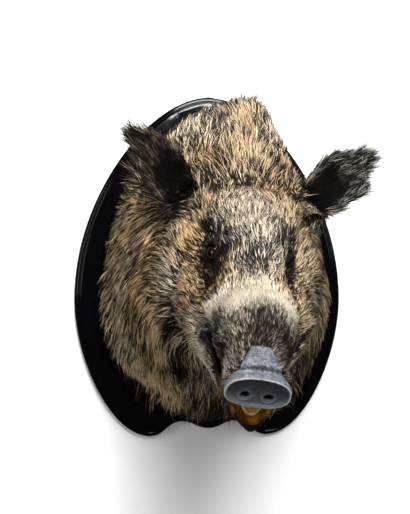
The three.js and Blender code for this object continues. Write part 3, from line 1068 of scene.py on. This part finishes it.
def makeCoat():
    dice = np.random.default_rng(coat["seed"])
    count = coat["tufts"] // 1
    tufts = scatter(count, dice)
    roots = tufts["roots"]
    tufts.update(groomed(roots, tufts["normals"], dice))
    tufts["bend"] = dice.normal(0, coat["bendSpread"], count)
    leaders = dice.choice(count, count // coat["clumpTufts"], replace=False)
    clumps = picked(tufts, leaders)
    heads = dice.choice(len(leaders), max(count // coat["lockTufts"], 1), replace=False)
    clumps["lock"] = heads[nearestOf(clumps["roots"][heads], clumps["roots"])]
    tufts["clump"] = nearestOf(clumps["roots"], roots)
    clumpTone = dice.random(len(leaders))[tufts["clump"]]
    tone = toward(dice.random(count), clumpTone, coat["clumpTone"])
    aside = np.abs(inHead(roots)[:, 0])
    spread = toward(1.0, 1.5, ease(45, 75, aside))  # cheeks and neck are streakier
    tufts["tone"] = np.clip(0.5 + spread * (tone - 0.5), 0, 1)
    tufts["pull"] = coat["clumpPull"] * dice.uniform(0.4, 1.3, count)
    tufts["marked"] = roots + dice.normal(0, coat["markBlend"], roots.shape)
    bent, long = tufts["length"] > coat["bendFrom"], tufts["length"] > coat["longFrom"]
    fur = coatMaterial()
    for kind, members, bends in (
        ("short", ~bent, ()),
        ("middle", bent & ~long, (0.45,)),
        ("long", long, (0.3, 0.65)),
    ):
        members = np.nonzero(members)[0]
        faces = len(tuftShape(bends)[2])
        pieces = math.ceil(len(members) / (coat["mostFaces"] // faces))
        for number in range(pieces):
            own = picked(tufts, members[number::pieces])
            mesh = tuftMesh(makeTufts(own, clumps, bends))
            addPiece(f"coat_{kind}_{number + 1}", mesh, fur)
        print("coat", kind, len(members), "tufts,", len(members) * faces, "faces in", pieces)


makeCoat()


def cutAway(shape, place, outward):  # keeps what lies behind a plane and closes the cut
    everything = shape.verts[:] + shape.edges[:] + shape.faces[:]
    cut = bmesh.ops.bisect_plane(
        shape, geom=everything, dist=1e-6, plane_co=place, plane_no=outward, clear_outer=True)
    edges = [part for part in cut["geom_cut"] if isinstance(part, bmesh.types.BMEdge)]
    bmesh.ops.holes_fill(shape, edges=edges)


def plateMesh():  # the bare skin above the disc, cut out of the muzzle and a little proud of it
    plate = solidOf("muzzle", grow=nose["proud"])
    plate.normal_update()
    for point in plate.verts:
        swell = float(ease(218, 242, inHead(np.array(point.co))[1]))
        point.co += point.normal * (nose["swell"] * swell)
    begins, top = nose["plateFrom"], nose["plateTop"]
    cutAway(plate, inRoom((0, begins, 0)), -ahead)
    cutAway(plate, inRoom((0, 0, 2)), -upward)
    slant = unit(np.array([nose["plateLength"], top - nose["plateFoot"]]))
    for hand in (1, -1):
        outward = slant[0] * hand * sideways + slant[1] * ahead
        cutAway(plate, inRoom((nose["plateMiddle"] + hand * top, begins, 0)), outward)
    return meshFrom("plate", plate)


def snoutMesh():  # disc and plate as one skin, softened where they meet
    shape = solidOf("snout_disc")
    shape.from_mesh(plateMesh())
    mesh = remeshed(shape, nose["voxel"], nose["calm"])
    front, up = inHead(pointsOf(mesh)).T[1:]
    blend = bmesh.new()
    blend.from_mesh(mesh)
    blend.verts.ensure_lookup_table()
    seam = np.nonzero((abs(front - nose["seam"]) < 7) & (up > 6))[0]
    soften(blend, [blend.verts[i] for i in seam], nose["seamCalm"])
    blend.to_mesh(mesh)
    blend.free()
    return mesh


def makeNose():
    mesh = snoutMesh()
    points, normals = pointsOf(mesh), normalsOf(mesh)
    side, front, up = inHead(points).T
    side, up = side - nose["middle"][0], up - nose["middle"][1]
    roll = math.radians(nose["roll"])
    across = side * math.cos(roll) - up * math.sin(roll)
    rise = side * math.sin(roll) + up * math.cos(roll)
    tall = np.where(rise > 0, nose["above"], nose["below"])
    wide = np.abs(across / nose["half"]) ** nose["power"] + np.abs(rise / tall) ** nose["power"]
    ring = wide ** (1 / nose["power"])  # 1 at the disc's outline
    # the disc's face, which the shader darkens: its own darker skin, with painted shade where it turns
    # from the top lamp
    face = ease(0.35, 0.75, normals @ ahead) * ease(250, 256, front)
    # the disc's raised outline, which the shader also paints as a highlight
    rim = bell(ring, 0.95, 0.024) * ease(253, 258, front)
    lift = nose["rim"] * rim - nose["dish"] * face * ease(0.95, 0.75, ring)
    hole = np.full(len(points), 9.0)
    aside, height = nose["nostril"]
    for hand in (-1, 1):
        gap = np.hypot(across - hand * aside, rise - height) / nose["nostrilRadius"]
        hole = np.minimum(hole, gap)
        lift += nose["nostrilRim"] * face * bell(gap, 1.35, 0.25)
    lift -= nose["groove"] * face * bell(across, 0, 2.2) * ease(-22, -8, rise)
    plateShare = ease(257, 250, front) * ease(0.0, 0.4, normals @ upward)
    folds = np.sin(front / 0.62 + 2.2 * ripple(points, 0.02, 31)) * ease(240, 226, front)
    cracks = np.abs(ripple(points, 0.006, 32)) ** 0.6
    lift += plateShare * (nose["folds"] * folds - nose["cracks"] * (1 - cracks) * ease(222, 236, front))
    lift += nose["seamRoll"] * bell(front, 242, 6) * ease(0.0, 0.4, normals @ upward)
    lift += nose["grain"] * ripple(points, 0.004, 33)
    movePoints(mesh, points + normals * lift[:, None])
    mesh.shade_smooth()
    # painted shade: the plate's folds and cracks darkened where the skin sinks
    crease = (0.3 - 0.3 * folds) * ease(238, 228, front) + (1 - cracks) * 0.7 * ease(240, 230, front)
    setAttributes(mesh, {
        "rim": np.maximum(rim, 0.3 * bell(hole, 1.2, 0.16) * face),
        "face": face * ease(0.98, 0.86, ring),
        "low": face * ease(2, -14, rise),
        "crease": np.clip(plateShare * crease, 0, 1),
        "hole": ease(1.0, 0.8, hole) * ease(260, 240, front),
    })
    piece = addPiece("snout", mesh, noseMaterial())
    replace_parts(piece, "snout_disc")


def noseMaterial():
    material, tree, shader = newMaterial("noseSkin")
    mottle = ramp(tree, noise(tree, 260, 5, 0.65), 0.36, 0.64)
    patches = ramp(tree, noise(tree, 55, 3), 0.35, 0.65)
    skinTone = mixed(tree, mottle, colour(0.25, 0.27, 0.30), colour(0.56, 0.585, 0.62))
    skinTone = mixed(tree, times(tree, patches, 0.55), skinTone, colour(0.20, 0.21, 0.235))
    # the disc's face: its own darker skin with painted shade; its lower part is painted lighter, leaving
    # the painted shade above
    dark = mixed(tree, mottle, colour(0.17, 0.19, 0.205), colour(0.27, 0.295, 0.315))
    pores = {"Vector": placeOn(tree), "Scale": 420.0}
    pores = addNode(tree, "TexVoronoi", pores, feature="DISTANCE_TO_EDGE").outputs["Distance"]
    skinTone = mixed(tree, ramp(tree, pores, 0.0, 0.14, 0.7, 0.0), skinTone, colour(0.14, 0.15, 0.17))
    shade = mixed(tree, attribute(tree, "face"), skinTone, dark)
    low = times(tree, attribute(tree, "low"), 0.55)
    shade = mixed(tree, low, shade, colour(0.36, 0.385, 0.41))
    # painted highlight: the disc's raised outline and the nostril rims painted pale grey
    rim = times(tree, attribute(tree, "rim"), 0.85)
    shade = mixed(tree, rim, shade, colour(0.74, 0.75, 0.76))
    # painted shade in the plate's folds and cracks
    crease = times(tree, attribute(tree, "crease"), 0.75)
    shade = mixed(tree, crease, shade, colour(0.15, 0.16, 0.18))
    # the nostril openings: the lining's brown, with painted shade in the holes
    shade = mixed(tree, attribute(tree, "hole"), shade, colour(0.15, 0.10, 0.05))
    rough = ramp(tree, mottle, 0, 1, 0.30, 0.46)
    relief = bump(tree, ramp(tree, pores, 0, 0.12), 0.0005, 0.5)
    paint(tree, shader, shade, rough, relief)
    return material


makeNose()
print("snout made")


tongue = {
    "voxel": 0.0012,
    "calm": 6,
    "edge": 0.0009,  # the rim stands up,
    "groove": 0.0012,  # and the middle is sunk
}


def tongueMaterial():
    material, tree, shader = newMaterial("tongueGloss")
    blotch = ramp(tree, noise(tree, 160, 3), 0.3, 0.7)
    shade = mixed(tree, blotch, colour(0.60, 0.38, 0.10), colour(0.80, 0.57, 0.24))
    # painted highlight: the raised rim round the tongue's tip painted near white
    shade = mixed(tree, attribute(tree, "edge"), shade, colour(0.96, 0.90, 0.74))
    rough = ramp(tree, blotch, 0, 1, 0.14, 0.26)
    buds = bump(tree, noise(tree, 900, 2), 0.0003, 0.4)
    paint(tree, shader, shade, rough, buds)
    return material


def makeTongue():
    mesh = remeshed(solidOf("tongue"), tongue["voxel"], tongue["calm"])
    points, normals = pointsOf(mesh), normalsOf(mesh)
    side, front, up = inHead(points).T
    facing = normals @ upward
    # the raised rim round the tip, which the shader also paints as a highlight
    edge = bell(facing, 0.55, 0.2) * ease(196, 206, front)
    middle = bell(side, jaw["middle"], 3) * ease(0.3, 0.7, facing)
    lift = tongue["edge"] * edge - tongue["groove"] * middle
    movePoints(mesh, points + normals * lift[:, None])
    mesh.shade_smooth()
    setAttributes(mesh, {"edge": edge})
    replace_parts(addPiece("tongue_gloss", mesh, tongueMaterial()), "tongue")


makeTongue()
print("tongue made")


eyeball = {
    "share": 0.99,  # of the CAD ball's radius
    "pupil": 16.0,  # degrees from the middle of the eye
    "iris": 34.0,
}


def eyeMaterial():
    material, tree, shader = newMaterial("glassEye")
    turn = attribute(tree, "fromMiddle")
    streaks = noise(tree, 900, 3)
    iris = mixed(tree, streaks, colour(0.04, 0.028, 0.02), colour(0.09, 0.055, 0.035))
    inside = ramp(tree, turn, eyeball["pupil"] - 2, eyeball["pupil"] + 2)
    shade = mixed(tree, inside, colour(0.01, 0.01, 0.012), iris)
    outside = ramp(tree, turn, eyeball["iris"] - 4, eyeball["iris"] + 5)
    shade = mixed(tree, outside, shade, colour(0.05, 0.04, 0.035))
    paint(tree, shader, shade, 0.08)
    return material


def makeEyes():
    glass = eyeMaterial()
    for node in eyeNodes:
        low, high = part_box(node)
        centre, radius = Vector((low + high) / 2), (high - low).x / 2
        shape = bmesh.new()
        radius *= eyeball["share"]
        bmesh.ops.create_uvsphere(shape, u_segments=40, v_segments=28, radius=radius)
        facing = Vector(eyeAxis(node)).to_track_quat("Z", "Y").to_matrix().to_4x4()
        fromMiddle = [math.degrees(p.co.angle(Vector((0, 0, 1)))) for p in shape.verts]
        bmesh.ops.transform(shape, matrix=facing, verts=shape.verts)
        bmesh.ops.translate(shape, vec=centre, verts=shape.verts)
        mesh = meshFrom(node, shape)
        mesh.shade_smooth()
        setAttributes(mesh, {"fromMiddle": fromMiddle})
        piece = addPiece(node.replace("eye", "eyeball"), mesh, glass)
        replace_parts(piece, node)


makeEyes()
print("eyes made")
